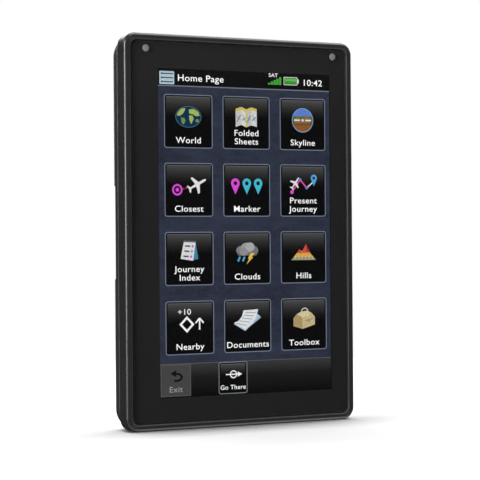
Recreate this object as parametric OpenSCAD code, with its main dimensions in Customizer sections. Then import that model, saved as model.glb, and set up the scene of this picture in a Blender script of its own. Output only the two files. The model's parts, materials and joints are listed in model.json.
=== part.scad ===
// Portable aviation GPS navigator: a slim case with a seven inch touch screen.
// Z is up, X is to the right of the screen and the screen faces -Y. The origin is the centre of the
// bottom of the case. Most places below are given as a depth, in mm behind the front plane.

/* [Case] */
// Width of the case
case_w = 121.7; // [121:0.1:123]
// Height of the case, standing upright
case_h = 184.2; // [184:0.1:186]
// Depth of the case, from the front rim to the raised back
case_d = 23.6; // [23.4:0.1:24.4]
// Radius of the bezel's corners, seen from the front
bezel_corner_r = 6; // [5.5:0.5:7]
// Radius of the rounded shoulder round the front rim
shoulder_r = 1.7; // [1.2:0.1:1.9]
// Depth of the bezel, from the front rim to the joint with the rear cover
bezel_depth = 8.4; // [8.3:0.1:8.5]
// Thickness of the case walls
wall_t = 2; // [1.8:0.1:2.1]

/* [Rear cover] */
// Radius that rolls the side walls into the back
back_r = 9; // [8.5:0.5:9]
// Depth of the flat back round the raised panel
back_depth = 20.3; // [20.2:0.1:20.6]
// Width of the raised panel
raised_w = 86; // [86:1:88]
// Height of the raised panel
raised_h = 142; // [140:1:143]
// Length of the grip recess in each side
grip_length = 44; // [38:1:44]
// Depth of the grip recess
grip_cut = 0.65; // [0.4:0.05:0.8]

/* [Front] */
// Width of the cover glass
glass_w = 114; // [113.6:0.1:114.2]
// Height of the cover glass
glass_h = 177; // [176.6:0.1:177.4]
// Thickness of the cover glass
glass_t = 1.2; // [1.1:0.05:1.2]
// Width of the picture area
picture_w = 91.6; // [90:0.1:92]
// Height of the picture area
picture_h = 152.8; // [150:0.1:153]
// Distance of the picture's centre to the right of the case's centre
picture_x = 2.5; // [0:0.1:2.5]
// Distance of each light window from the centre line
window_x = 49.8; // [48:0.1:50]
// Radius of the two light windows
window_r = 1.65; // [1.2:0.05:1.65]

/* [Battery] */
// Width of the battery pack
battery_w = 70.6; // [68:0.1:71]
// Height of the battery pack
battery_h = 56.4; // [54:0.1:57]
// Width of the battery door
door_w = 78; // [77:0.5:80]
// Height of the battery door
door_h = 72; // [71:0.5:72]

/* [Ports and button] */
// Length of the memory card door
card_door_length = 18; // [16:0.5:18]
// Length of the USB door
usb_door_length = 14; // [13.5:0.5:14]
// Length of the power button
button_length = 11; // [9:0.5:12]
// Width of the power button
button_width = 3.4; // [3:0.1:3.4]
// Inner radius of the antenna jack
jack_bore_r = 1.75; // [1.5:0.05:1.9]
// Inner radius of the two locating sockets
socket_r = 2.2; // [1.5:0.1:2.5]

/* [Hidden] */
$fn = 64;
eps = 0.01;
clear = 0.3;                             // free space beside a moving piece

mid_z = case_h / 2;
half_w = case_w / 2;

// Depths of the layers behind the glass
glass_front = 0.25;
glass_back = glass_front + glass_t;
adhesive_t = 0.2;
ledge_front = glass_back + adhesive_t;
ledge_back = 3.2;
touch_back = glass_back + 0.3;
lcd_back = touch_back + 1.2;
guide_back = lcd_back + 1.6;
tray_back = guide_back + 0.6;
chassis_front = 5.6;
chassis_back = 6.6;
board_front = 10;
board_back = 11.2;

// Flexible circuits: they pass under the chassis, and up behind it to their connectors
flex_t = 0.15;
flex_back = 7.2;
flex_turn_z = 98;
flex_end_z = 104;
connector_front = 8.8;
display_flex_x = [-10, 14];
touch_flex_x = [26, 36];

// Openings in the bezel
glass_gap = 0.45;
glass_corner_r = 3;
bezel_wall = 2.2;
opening_w = 107.2;
opening_h = 168.4;
opening_z = 91.2;
touch_h = 165.6;
picture_z = 91.6;
window_z = 177.1;
window_back = 4.7;
lcd_margin_w = 6.4;
lcd_margin_h = 10.2;

// The joint between bezel and rear cover
cover_inset = 0.3;
cover_front = bezel_depth + 0.3;
cover_bevel = 0.65;
bezel_back_r = 0.8;
cover_w = case_w - 2 * cover_inset;
cover_h = case_h - cover_inset;          // level with the bezel at the bottom, where the case stands
cover_z = cover_h / 2;
cover_corner_r = back_r + 1;
roll_x = cover_w / 2 - back_r;           // centre line of the rolled edge
roll_depth = back_depth - back_r;
raised_z = 89;
raised_corner_r = 8;
raised_edge_r = 2.2;

// Battery bay and door, in the raised panel
bay_gap = 0.7;
bay_w = battery_w + 2 * bay_gap;
bay_h = battery_h + 2 * bay_gap;
bay_z = 63;
bay_floor_front = 9.6;
bay_floor_back = 10.6;
bay_wall = 1.5;
blade_x = [-4, 0, 4];
connector_z = 98;
door_z = 60;
door_front = 21.8;
door_gap = 0.15;
door_screw_x = 33;
door_screw_z = 28.4;
tab_x = 20;
tab_w = 8;

// Board layout: places of the screws
board_w = 105;
board_h = 79.5;
board_z = 136.75;
board_screw_places = [[-46, 108], [46, 108], [-40, 157], [40, 157]];
processor_place = [18, 130];
memory_place = [31, 122];
shield_place = [23, 127];
receiver_place = [-20, 124];
patch_place = [-18, 158];
patch_t = 4;
cell_place = [-42, 128];
rear_screw_places = [for (x = [-47.3, 47.3], z = [13.6, mid_z, 170.5]) [x, z]];
chassis_screw_places = [for (x = [-55.9, 55.9], z = [12, 64, 120, 172]) [x, z]];
post_r = 3;
shaft_r = 1;
shaft_hole_r = 1.02;

// Cradle interface on the raised panel
contact_z = 128;
contact_count = 9;
contact_pitch = 3.4;
contact_r = 1.2;
socket_x = 26;
socket_depth = 3;
contact_front = 19.2;
block_w = 34;
block_h = 8;

// Antenna jack, above the raised panel
jack_x = 28;
jack_z = 167.5;
jack_r = 3;
jack_floor = board_back + 2.2;
cap_r = 5;
cap_front = 19.25;
cap_back = 20.15;
cap_recess = 1.1;

// Port doors, in the right side of the rear cover
hinge_x = cover_w / 2 - 1.15;
hinge_depth = 11.2;
knuckle_r = 1.15;
pin_r = 0.5;
pin_hole_r = 0.56;
door_reach = 5.75;
door_t = 1.6;
port_front = 9.75;
port_back = 17.2;
card_z = 129;
usb_z = 148;
button_z = 164;
button_depth = 12.4;
button_proud = 0.25;
port_depth = 12.8;                       // depth of the middle of both sockets
port_face_x = 55;
usb_opening = [8.94, 3.2];               // length and thickness of the USB receptacle
card_length = 14.1;
switch_x = [49.6, 54];

// ---------------------------------------------------------------- shared shapes

// A rounded rectangle about the origin
module rounded(w, h, r) {
    square([w - 2 * r, h], center = true);
    square([w, h - 2 * r], center = true);
    for (x = [-1, 1], y = [-1, 1]) translate([x * (w / 2 - r), y * (h / 2 - r)]) circle(r);
}

// A plate across the case, between two depths
module plate(w, h, r, d0, d1, x = 0, z = mid_z) {
    translate([x, d1 - case_d / 2, z]) rotate([90, 0, 0]) linear_extrude(d1 - d0) rounded(w, h, r);
}

// A cylinder that runs from front to back
module rod(x, z, r, d0, d1) {
    translate([x, d1 - case_d / 2, z]) rotate([90, 0, 0]) cylinder(r = r, h = d1 - d0);
}

// A cylinder that runs upwards
module upright(x, depth, r, z0, z1) {
    translate([x, depth - case_d / 2, z0]) cylinder(r = r, h = z1 - z0);
}

// A cylinder that runs to the right
module across(x0, x1, depth, z, r) {
    translate([x0, depth - case_d / 2, z]) rotate([0, 90, 0]) cylinder(r = r, h = x1 - x0);
}

// A box given by its two ends along each direction
module box(x0, x1, d0, d1, z0, z1) {
    translate([x0, d0 - case_d / 2, z0]) cube([x1 - x0, d1 - d0, z1 - z0]);
}

// A block with a rounded rectangle as its outline, seen from the front. The child is the section at a
// corner: its X is the distance from the corner's centre and its Y is the depth.
module swept(w, h, r, d0, d1, z = mid_z) {
    reach_x = w / 2 - r;
    reach_z = h / 2 - r;
    translate([0, -case_d / 2, z]) rotate([-90, 0, 0]) {
        translate([-reach_x, -reach_z, d0]) cube([2 * reach_x, 2 * reach_z, d1 - d0]);
        for (side = [0, 1]) rotate([0, 0, 180 * side]) {
            translate([reach_x, reach_z, 0]) rotate([90, 0, 0]) linear_extrude(2 * reach_z) children();
            translate([reach_x, reach_z, 0]) rotate_extrude(angle = 90) children();
            translate([-reach_x, reach_z, 0]) rotate([90, 0, 90]) linear_extrude(2 * reach_x) children();
            translate([-reach_x, reach_z, 0]) rotate([0, 0, 90]) rotate_extrude(angle = 90) children();
        }
    }
}

// Section of a block's edge, rounded or bevelled at the front and rounded at the back
module edge_section(r, d0, d1, front_r = 0, back_r = 0, bevel = 0) {
    difference() {
        translate([0, d0]) square([r, d1 - d0]);
        if (front_r > 0) translate([r - front_r, d0 + front_r]) difference() {
            translate([0, -front_r - 1]) square(front_r + 1);
            circle(front_r);
        }
        if (back_r > 0) translate([r - back_r, d1 - back_r]) difference() {
            square(back_r + 1);
            circle(back_r);
        }
        if (bevel > 0) polygon([[r - bevel, d0], [r - bevel, d0 - 1], [r + 1, d0 - 1], [r + 1, d0 + bevel],
                                [r, d0 + bevel]]);
    }
}

// A screw that points to the front, with a hexagon socket in its head
module screw(x, z, tip, seat, head_r, head_t, shaft = shaft_r) {
    difference() {
        union() {
            rod(x, z, shaft, tip, seat + eps);
            rod(x, z, head_r, seat, seat + head_t);
        }
        translate([x, seat + head_t + eps - case_d / 2, z]) rotate([90, 0, 0])
            cylinder(r = head_r * 0.5, h = head_t * 0.6, $fn = 6);
    }
}

// A flexible circuit of thin flat runs, given as boxes
module flex(runs) {
    for (run = runs) box(run[0], run[1], run[2], run[3], run[4], run[5]);
}

// ---------------------------------------------------------------- front

module front_bezel() {
    color([0.14, 0.14, 0.15]) difference() {
        union() {
            difference() {
                swept(case_w, case_h, bezel_corner_r, 0, bezel_depth)
                    edge_section(bezel_corner_r, 0, bezel_depth, front_r = shoulder_r,
                                 back_r = bezel_back_r);
                bezel_pocket();
                plate(opening_w, opening_h, 3, ledge_front - 1, bezel_depth + 1, z = opening_z);
                plate(case_w - 2 * bezel_wall, case_h - 2 * bezel_wall, bezel_corner_r - bezel_wall,
                      ledge_back, bezel_depth + 1);
            }
            for (p = chassis_screw_places) rod(p[0], p[1], 1.9, ledge_back - eps, chassis_front);
        }
        for (p = chassis_screw_places) rod(p[0], p[1], 0.8, ledge_back - 0.5, chassis_front + 1);
        for (x = [-window_x, window_x]) rod(x, window_z, window_r + 0.1, 0, ledge_back + 1);
    }
}

// The recess that the glass lies in, with a bevelled rim
module bezel_pocket() {
    rim = 0.35;
    pocket_w = glass_w + 2 * glass_gap;
    pocket_h = glass_h + 2 * glass_gap;
    pocket_r = glass_corner_r + glass_gap;
    plate(pocket_w, pocket_h, pocket_r, -1, ledge_front);
    swept(pocket_w + 2 * rim, pocket_h + 2 * rim, pocket_r + rim, -rim, rim)
        polygon([[0, -rim], [pocket_r + rim, -rim], [pocket_r + rim, 0], [pocket_r, rim], [0, rim]]);
}

module cover_glass() {
    bevel = 0.25;
    color([0.05, 0.05, 0.06]) difference() {
        swept(glass_w, glass_h, glass_corner_r, glass_front, glass_back)
            edge_section(glass_corner_r, glass_front, glass_back, bevel = bevel);
        for (x = [-window_x, window_x]) rod(x, window_z, window_r + 0.1, 0, glass_back + 1);
    }
}

module glass_adhesive() {
    color([0.1, 0.1, 0.1]) difference() {
        plate(glass_w - 0.6, glass_h - 0.6, glass_corner_r, glass_back, ledge_front);
        plate(opening_w - 0.8, opening_h - 0.8, 3, 0, ledge_front + 1, z = opening_z);
        for (x = [-window_x, window_x]) rod(x, window_z, window_r + 0.1, 0, ledge_front + 1);
    }
}

module touch_sensor() {
    color([0.3, 0.35, 0.4]) plate(opening_w - 2, touch_h, 2, glass_back, touch_back, z = picture_z);
}

module lcd_panel() {
    color([0.15, 0.18, 0.28])
        plate(picture_w + lcd_margin_w, picture_h + lcd_margin_h, 1, touch_back, lcd_back, x = picture_x,
              z = picture_z);
}

module light_guide() {
    color([0.9, 0.95, 1])
        plate(picture_w + 4, picture_h + 6, 1, lcd_back, guide_back, x = picture_x, z = picture_z);
}

// A tray of thin steel that holds the light guide
module backlight_tray() {
    tray_w = picture_w + lcd_margin_w;
    tray_h = picture_h + lcd_margin_h;
    color([0.75, 0.76, 0.78]) difference() {
        plate(tray_w, tray_h, 1, lcd_back, tray_back, x = picture_x, z = picture_z);
        plate(picture_w + 4.2, picture_h + 6.2, 1, 0, guide_back, x = picture_x, z = picture_z);
    }
}

module light_window(x) {
    dome_r = 6;
    front = 0.1;
    color([0.55, 0.55, 0.56]) intersection() {
        rod(x, window_z, window_r, 0, window_back);
        translate([x, front + dome_r - case_d / 2, window_z]) sphere(dome_r);
    }
}

module left_light_window() light_window(-window_x);
module right_light_window() light_window(window_x);

module light_sensor_chips() {
    color([0.2, 0.2, 0.2]) for (x = [-window_x, window_x])
        box(x - 1, x + 1, window_back, chassis_front, window_z - 1, window_z + 1);
}

// ---------------------------------------------------------------- middle frame

module chassis() {
    plate_w = case_w - 2 * bezel_wall - 0.8;
    plate_h = case_h - 2 * bezel_wall - 0.8;
    color([0.62, 0.63, 0.65]) difference() {
        union() {
            plate(plate_w, plate_h, bezel_corner_r - bezel_wall, chassis_front, chassis_back);
            for (p = board_screw_places) rod(p[0], p[1], 2.5, chassis_back - eps, board_front);
            for (p = rear_screw_places) rod(p[0], p[1], post_r, chassis_back - eps, cover_front + 0.3);
        }
        for (p = board_screw_places) rod(p[0], p[1], shaft_hole_r, chassis_front - 1, board_front + 1);
        for (p = rear_screw_places) rod(p[0], p[1], shaft_hole_r, chassis_front - 1, board_front);
        for (p = chassis_screw_places) rod(p[0], p[1], 0.9, chassis_front - 1, chassis_back + 1);
        box(-12, 38, chassis_front - 1, chassis_back + 1, 7, 9.6);
        for (x = [-26, 2, 30]) plate(20, 44, 4, chassis_front - 1, chassis_back + 1, x = x, z = 62);
    }
}

module chassis_screws() {
    color([0.7, 0.7, 0.72]) for (p = chassis_screw_places)
        screw(p[0], p[1], ledge_back, chassis_back, 1.6, 0.9, shaft = 0.79);
}

// A flexible circuit that leaves a panel at its lower edge, goes round the chassis and up to the board
module panel_flex(x, front, low_z, panel_z) {
    color([0.75, 0.45, 0.15]) flex([
        [x[0], x[1], front, front + flex_t, low_z, panel_z],
        [x[0], x[1], front, flex_back, low_z, low_z + flex_t],
        [x[0], x[1], flex_back - flex_t, flex_back, low_z, flex_turn_z],
        [x[0], x[1], flex_back - flex_t, connector_front, flex_turn_z - flex_t, flex_turn_z],
        [x[0], x[1], connector_front - flex_t, connector_front, flex_turn_z - flex_t, flex_end_z]]);
}

module display_flex() panel_flex(display_flex_x, 2.2, 8.6, picture_z - picture_h / 2 - lcd_margin_h / 2);
module touch_flex() panel_flex(touch_flex_x, 1.5, 7.6, picture_z - touch_h / 2);

module board_connectors() {
    color([0.9, 0.88, 0.8]) for (x = [display_flex_x, touch_flex_x])
        box(x[0] - 1, x[1] + 1, connector_front, board_front, flex_end_z - 5, flex_end_z);
}

// ---------------------------------------------------------------- electronics

module main_board() {
    color([0.05, 0.3, 0.15]) difference() {
        plate(board_w, board_h, 2, board_front, board_back, z = board_z);
        for (p = board_screw_places) rod(p[0], p[1], 1.1, board_front - 1, board_back + 1);
        for (p = rear_screw_places) rod(p[0], p[1], post_r + 0.5, board_front - 1, board_back + 1);
    }
}

module board_screws() {
    color([0.7, 0.7, 0.72]) for (p = board_screw_places)
        screw(p[0], p[1], chassis_back, board_back, 1.9, 1.1);
}

module processor() {
    color([0.1, 0.1, 0.1]) plate(14, 14, 0.5, board_back, board_back + 1.2, x = processor_place[0],
                                  z = processor_place[1]);
}

module memory_chip() {
    color([0.12, 0.12, 0.12]) plate(9, 12, 0.3, board_back, board_back + 1, x = memory_place[0],
                                     z = memory_place[1]);
}

// A pressed steel can over the circuits
module shield(w, h, t, place) {
    skin = 0.3;
    color([0.78, 0.78, 0.8]) difference() {
        plate(w, h, 1, board_back, board_back + t, x = place[0], z = place[1]);
        plate(w - 2 * skin, h - 2 * skin, 0.7, board_back - 1, board_back + t - skin, x = place[0],
              z = place[1]);
    }
}

module processor_shield() shield(30, 30, 2.4, shield_place);
module receiver_shield() shield(24, 22, 2.2, receiver_place);

module receiver_chip() {
    color([0.1, 0.1, 0.1]) plate(8, 8, 0.3, board_back, board_back + 0.9, x = receiver_place[0],
                                  z = receiver_place[1]);
}

module patch_antenna() {
    color([0.85, 0.8, 0.7]) plate(25, 25, 1, board_back, board_back + patch_t, x = patch_place[0],
                                     z = patch_place[1]);
}

module patch_electrode() {
    color([0.85, 0.85, 0.87]) plate(20, 20, 0.5, board_back + patch_t, board_back + patch_t + 0.2,
                                      x = patch_place[0], z = patch_place[1]);
}

module backup_cell() {
    color([0.8, 0.8, 0.8]) {
        rod(cell_place[0], cell_place[1], 4.6, board_back, board_back + 2);
        rod(cell_place[0], cell_place[1], 3.6, board_back, board_back + 2.2);
    }
}

module antenna_jack() {
    color([0.83, 0.68, 0.3]) difference() {
        union() {
            plate(7, 7, 0.5, board_back, board_back + 1.5, x = jack_x, z = jack_z);
            rod(jack_x, jack_z, jack_r, board_back, cap_front - 0.25);
        }
        rod(jack_x, jack_z, jack_bore_r, jack_floor, cap_front + 1);
    }
}

module antenna_contact() {
    color([0.9, 0.75, 0.35]) rod(jack_x, jack_z, 0.45, jack_floor, 17.2);
}

// A pull-off rubber cap, hollow round the contact
module antenna_cap() {
    plug_r = jack_bore_r - 0.06;
    color([0.1, 0.1, 0.1]) difference() {
        union() {
            rod(jack_x, jack_z, cap_r, cap_front, cap_back);
            rod(jack_x, jack_z, plug_r, 15.5, cap_front + eps);
            box(jack_x - 1.2, jack_x + 1.2, cap_front, cap_back, jack_z - cap_r - 0.9, jack_z);
        }
        rod(jack_x, jack_z, 0.8, 15, 18.6);
    }
}

// ---------------------------------------------------------------- sockets in the side

module usb_shell() {
    skin = 0.3;
    color([0.8, 0.8, 0.82]) difference() {
        stadium(port_face_x - 7.3, port_face_x, usb_opening[0], usb_opening[1], usb_z);
        stadium(port_face_x - 7, port_face_x + 1, usb_opening[0] - 2 * skin, usb_opening[1] - 2 * skin,
                usb_z);
    }
}

// A round-ended bar that runs to the right, as long in Z as it is given
module stadium(x0, x1, length, thick, z, depth = port_depth) {
    translate([x0, depth - case_d / 2, z]) rotate([0, 90, 0]) linear_extrude(x1 - x0) {
        square([length - thick, thick], center = true);
        for (end = [-1, 1]) translate([end * (length - thick) / 2, 0]) circle(thick / 2);
    }
}

module usb_tongue() {
    color([0.1, 0.1, 0.1])
        box(port_face_x - 7, port_face_x - 0.8, port_depth - 0.35, port_depth + 0.35, usb_z - 3.3,
            usb_z + 3.3);
}

module card_socket() {
    skin = 0.25;
    slot = 0.6;
    half_h = 6.4;
    color([0.8, 0.8, 0.82]) difference() {
        box(port_face_x - 14.6, port_face_x, board_back, port_depth + slot + skin, card_z - half_h,
            card_z + half_h);
        box(port_face_x - 14.6 + skin, port_face_x + 1, port_depth - slot, port_depth + slot,
            card_z - half_h + skin, card_z + half_h - skin);
    }
}

// The card is pushed in a little to release it
module memory_card() {
    color([0.12, 0.12, 0.14]) difference() {
        box(port_face_x + 0.7 - card_length, port_face_x + 0.7, port_depth - 0.4, port_depth + 0.4,
            card_z - 5.5, card_z + 5.5);
        box(port_face_x, port_face_x + 0.5, port_depth + 0.2, port_depth + 1, card_z - 3.5, card_z + 3.5);
    }
}

// The plate behind the two doors that frames the sockets
module port_frame() {
    color([0.12, 0.12, 0.13]) difference() {
        box(port_face_x - 1.6, port_face_x, 9.4, 17, card_z - 10.5, usb_z + 8.5);
        stadium(port_face_x - 2, port_face_x + 1, usb_opening[0] + 0.04, usb_opening[1] + 0.04, usb_z);
        box(port_face_x - 2, port_face_x + 1, board_back - 0.02, port_depth + 0.87, card_z - 6.42,
            card_z + 6.42);
    }
}

// The outside of the case's side, for pieces that lie flush in it
module side_skin(z0, z1, r, depth0, depth1) {
    intersection() {
        union() {
            upright(roll_x, roll_depth, r, z0, z1);
            box(roll_x, roll_x + r, depth0, roll_depth, z0, z1);
        }
        box(roll_x, half_w, depth0, depth1, z0, z1);
    }
}

// A flush door on a pin at its front edge
module port_door(z, length) {
    z0 = z - length / 2;
    z1 = z + length / 2;
    difference() {
        union() {
            intersection() {
                difference() {
                    side_skin(z0, z1, back_r, hinge_depth, port_back);
                    side_skin(z0 - 1, z1 + 1, back_r - door_t, hinge_depth - 1, port_back + 1);
                }
                upright(hinge_x, hinge_depth, door_reach, z0 - 1, z1 + 1);
            }
            upright(hinge_x, hinge_depth, knuckle_r, z0, z1);
        }
        upright(hinge_x, hinge_depth, pin_hole_r, z0 - 1, z1 + 1);
        upright(hinge_x - 2.6, hinge_depth + door_reach + 1.5, 2.1, z - 4, z + 4);
    }
}

module port_pin(z, length) {
    color([0.75, 0.75, 0.77])
        upright(hinge_x, hinge_depth, pin_r, z - length / 2 - 1.3, z + length / 2 + 1.3);
}

module card_door() color([0.13, 0.13, 0.14]) port_door(card_z, card_door_length);
module card_door_pin() port_pin(card_z, card_door_length);
module usb_door() color([0.13, 0.13, 0.14]) port_door(usb_z, usb_door_length);
module usb_door_pin() port_pin(usb_z, usb_door_length);

module power_switch() {
    color([0.25, 0.25, 0.26]) difference() {
        box(switch_x[0], switch_x[1], board_back, board_back + 2.6, button_z - 3.2, button_z + 3.2);
        across(switch_x[0] + 2.2, switch_x[1] + 1, button_depth, button_z, 1);
    }
}

module switch_plunger() {
    color([0.85, 0.82, 0.75]) across(switch_x[0] + 2.8, switch_x[1] + 1.2, button_depth, button_z, 0.9);
}

module power_button() {
    flange = 0.6;
    color([0.1, 0.1, 0.11]) {
        intersection() {
            stadium(57, half_w, button_length, button_width, button_z, depth = button_depth);
            upright(roll_x, roll_depth, back_r + button_proud, button_z - button_length,
                    button_z + button_length);
        }
        stadium(56.6, 57.3, button_length + 2 * flange, button_width + 2 * flange, button_z,
                depth = button_depth);
        across(switch_x[1] + 1.2, 56.7, button_depth, button_z, 1.2);
    }
}

// ---------------------------------------------------------------- battery

module battery_pack() {
    color([0.16, 0.17, 0.2]) difference() {
        plate(battery_w, battery_h, 2, bay_floor_back + 0.2, door_front - 0.4, z = bay_z);
        for (x = blade_x) box(x - 1, x + 1, 12, 14, bay_z + battery_h / 2 - 0.4, bay_z + battery_h);
    }
}

module battery_connector() {
    color([0.1, 0.1, 0.1]) box(-8, 8, board_back, 14.6, connector_z, connector_z + 4);
}

module battery_blades() {
    blade_end = bay_z + battery_h / 2 - 0.3;
    color([0.9, 0.75, 0.35]) for (x = blade_x) box(x - 0.6, x + 0.6, 12.6, 13.4, blade_end, connector_z);
}

module battery_seal() {
    color([0.2, 0.2, 0.2]) difference() {
        plate(bay_w + 3.4, bay_h + 3.4, 3.4, door_front - 0.5, door_front, z = bay_z);
        plate(bay_w + 1.6, bay_h + 1.6, 2.6, door_front - 1, door_front + 1, z = bay_z);
    }
}

module battery_door() {
    color([0.13, 0.13, 0.14]) difference() {
        union() {
            plate(door_w, door_h, 4, door_front, case_d, z = door_z);
            for (x = [-tab_x, tab_x])
                box(x - tab_w / 2, x + tab_w / 2, door_front + 0.15, door_front + 0.85,
                    door_z + door_h / 2 - 2, door_z + door_h / 2 + 1.6);
        }
        for (x = [-door_screw_x, door_screw_x]) {
            rod(x, door_screw_z, 1.2, door_front - 1, case_d + 1);
            rod(x, door_screw_z, 2.2, case_d - 1, case_d + 1);
        }
        for (i = [-2:2]) plate(16, 0.8, 0.39, case_d - 0.4, case_d + 1, z = door_z - 24 + 2 * i);
    }
}

module door_screws() {
    color([0.3, 0.3, 0.31]) for (x = [-door_screw_x, door_screw_x])
        screw(x, door_screw_z, 16, case_d - 1, 2, 0.9);
}

// ---------------------------------------------------------------- cradle interface

module contact_block() {
    color([0.1, 0.1, 0.1]) difference() {
        union() {
            plate(block_w, block_h, 3, 20, case_d - 0.35, z = contact_z);
            plate(block_w + 4, block_h + 4, 4, 19.8, case_d - wall_t - 0.1, z = contact_z);
        }
        for (i = [0:contact_count - 1]) rod(contact_x(i), contact_z, contact_r, 19, case_d);
    }
}

function contact_x(i) = (i - (contact_count - 1) / 2) * contact_pitch;

module cradle_contacts() {
    color([0.9, 0.75, 0.35]) for (i = [0:contact_count - 1])
        rod(contact_x(i), contact_z, contact_r, contact_front, case_d - 0.45);
}

module contact_flex() {
    low_z = contact_z - 6;
    back = contact_front;
    color([0.75, 0.45, 0.15]) flex([
        [-16, 16, back - flex_t, back, contact_z - 3, contact_z + 3],
        [-6, 6, back - flex_t, back, low_z, contact_z - 3],
        [-6, 6, board_back, back, low_z - flex_t, low_z],
        [-6, 6, board_back, board_back + flex_t, low_z - 10, low_z]]);
}

// ---------------------------------------------------------------- rear shell

module case_seal() {
    seal_out = 1.3;
    seal_w = 0.8;
    color([0.25, 0.25, 0.26]) difference() {
        plate(case_w - 2 * seal_out, case_h - 2 * seal_out, bezel_corner_r, bezel_depth, cover_front);
        plate(case_w - 2 * (seal_out + seal_w), case_h - 2 * (seal_out + seal_w), bezel_corner_r - seal_w,
              bezel_depth - 1, cover_front + 1);
    }
}

module cover_shell() {
    difference() {
        union() {
            swept(cover_w, cover_h, cover_corner_r, cover_front, back_depth, z = cover_z)
                edge_section(cover_corner_r, cover_front, back_depth, back_r = back_r,
                             bevel = cover_bevel);
            swept(raised_w, raised_h, raised_corner_r, back_depth - 1, case_d, z = raised_z)
                edge_section(raised_corner_r, back_depth - 1, case_d, back_r = raised_edge_r);
        }
        swept(cover_w - 2 * wall_t, cover_h - 2 * wall_t, cover_corner_r - wall_t, cover_front - 1,
              back_depth - wall_t, z = cover_z)
            edge_section(cover_corner_r - wall_t, cover_front - 1, back_depth - wall_t,
                         back_r = back_r - wall_t);
        plate(raised_w - 2 * wall_t, raised_h - 2 * wall_t, raised_corner_r - wall_t,
              back_depth - wall_t - 1, case_d - wall_t, z = raised_z);
    }
}

// Walls, floor and rim of the battery bay, with the bosses and posts for the screws
module cover_inside() {
    plate(bay_w + 2 * bay_wall, bay_h + 2 * bay_wall, 3, bay_floor_front, case_d - 1, z = bay_z);
    plate(door_w + 4, door_h + 4, 5, door_front - 2, case_d - 1, z = door_z);
    for (x = [-door_screw_x, door_screw_x]) rod(x, door_screw_z, 2.8, 14, door_front - 1);
    for (x = [-socket_x, socket_x])
        rod(x, contact_z, socket_r + 2, case_d - socket_depth - 1.2, case_d - 1);
    for (p = rear_screw_places) rod(p[0], p[1], post_r, cover_front + 0.3, back_depth - 1);
}

// Shallow hollow in one side for the fingers, with sloped ends
module grip_hollow() {
    slope = 1.2;
    z0 = mid_z - grip_length / 2;
    z1 = mid_z + grip_length / 2;
    start = roll_depth + 1;
    floor_r = back_r - grip_cut;
    difference() {
        box(roll_x, half_w + 1, start, back_depth + 1, z0, z1);
        upright(roll_x, roll_depth, floor_r, z0 - 1, z1 + 1);
        translate([roll_x, roll_depth - case_d / 2, z0]) cylinder(r1 = back_r, r2 = floor_r, h = slope);
        translate([roll_x, roll_depth - case_d / 2, z1 - slope])
            cylinder(r1 = floor_r, r2 = back_r, h = slope);
    }
}

module port_window(z, length) {
    box(roll_x, half_w + 1, port_front, port_back, z - length / 2 - clear, z + length / 2 + clear);
    upright(hinge_x, hinge_depth, pin_r, z - length / 2 - 1.3, z + length / 2 + 1.3);
}

module rear_cover() {
    color([0.13, 0.13, 0.14]) difference() {
        union() {
            cover_shell();
            cover_inside();
        }
        plate(bay_w, bay_h, 2.5, bay_floor_back, case_d + 1, z = bay_z);
        plate(door_w + 2 * door_gap, door_h + 2 * door_gap, 4 + door_gap, door_front, case_d + 1,
              z = door_z);
        plate(bay_w + 3.6, bay_h + 3.6, 3.5, door_front - 0.5, case_d, z = bay_z);
        for (x = [-tab_x, tab_x])
            box(x - tab_w / 2 - 0.3, x + tab_w / 2 + 0.3, door_front, door_front + 1,
                door_z + door_h / 2 - 1, door_z + door_h / 2 + 2);
        for (x = [-door_screw_x, door_screw_x])
            rod(x, door_screw_z, shaft_hole_r, 15.2, door_front + 1);
        box(-7, 7, 11.8, 14.2, bay_z + bay_h / 2 - 1, bay_z + bay_h / 2 + bay_wall + 1);
        for (p = rear_screw_places) {
            rod(p[0], p[1], 1.2, cover_front - 1, back_depth + 1);
            rod(p[0], p[1], 2.4, back_depth - 1.6, back_depth + 1);
        }
        plate(block_w + 0.4, block_h + 0.4, 3.2, case_d - 3, case_d + 1, z = contact_z);
        for (x = [-socket_x, socket_x]) rod(x, contact_z, socket_r, case_d - socket_depth, case_d + 1);
        plate(18, 3, 1.2, case_d - 1.4, case_d + 1, z = raised_z + raised_h / 2 - 7);
        rod(jack_x, jack_z, jack_r + 0.4, back_depth - 3, back_depth + 1);
        rod(jack_x, jack_z, cap_r + 0.25, back_depth - cap_recess, back_depth + 1);
        box(jack_x - 1.8, jack_x + 1.8, back_depth - cap_recess, back_depth + 1, jack_z - cap_r - 1.6,
            jack_z);
        grip_hollow();
        mirror([1, 0, 0]) grip_hollow();
        port_window(card_z, card_door_length);
        port_window(usb_z, usb_door_length);
        stadium(half_w - 4, half_w + 1, button_length + 0.4, button_width + 0.4, button_z,
                depth = button_depth);
    }
}

module rear_screws() {
    color([0.3, 0.3, 0.31]) for (p = rear_screw_places)
        screw(p[0], p[1], chassis_back, back_depth - 1.6, 2.2, 1.4);
}

front_bezel();
cover_glass();
glass_adhesive();
touch_sensor();
lcd_panel();
light_guide();
backlight_tray();
left_light_window();
right_light_window();
light_sensor_chips();
chassis();
chassis_screws();
display_flex();
touch_flex();
board_connectors();
main_board();
board_screws();
processor();
memory_chip();
processor_shield();
receiver_chip();
receiver_shield();
patch_antenna();
patch_electrode();
backup_cell();
antenna_jack();
antenna_contact();
antenna_cap();
usb_shell();
usb_tongue();
card_socket();
memory_card();
port_frame();
card_door();
card_door_pin();
usb_door();
usb_door_pin();
power_switch();
switch_plunger();
power_button();
battery_pack();
battery_connector();
battery_blades();
battery_seal();
battery_door();
door_screws();
contact_block();
cradle_contacts();
contact_flex();
case_seal();
rear_cover();
rear_screws();
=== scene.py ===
import json
import math

import bpy
from mathutils import Matrix, Vector


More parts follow.
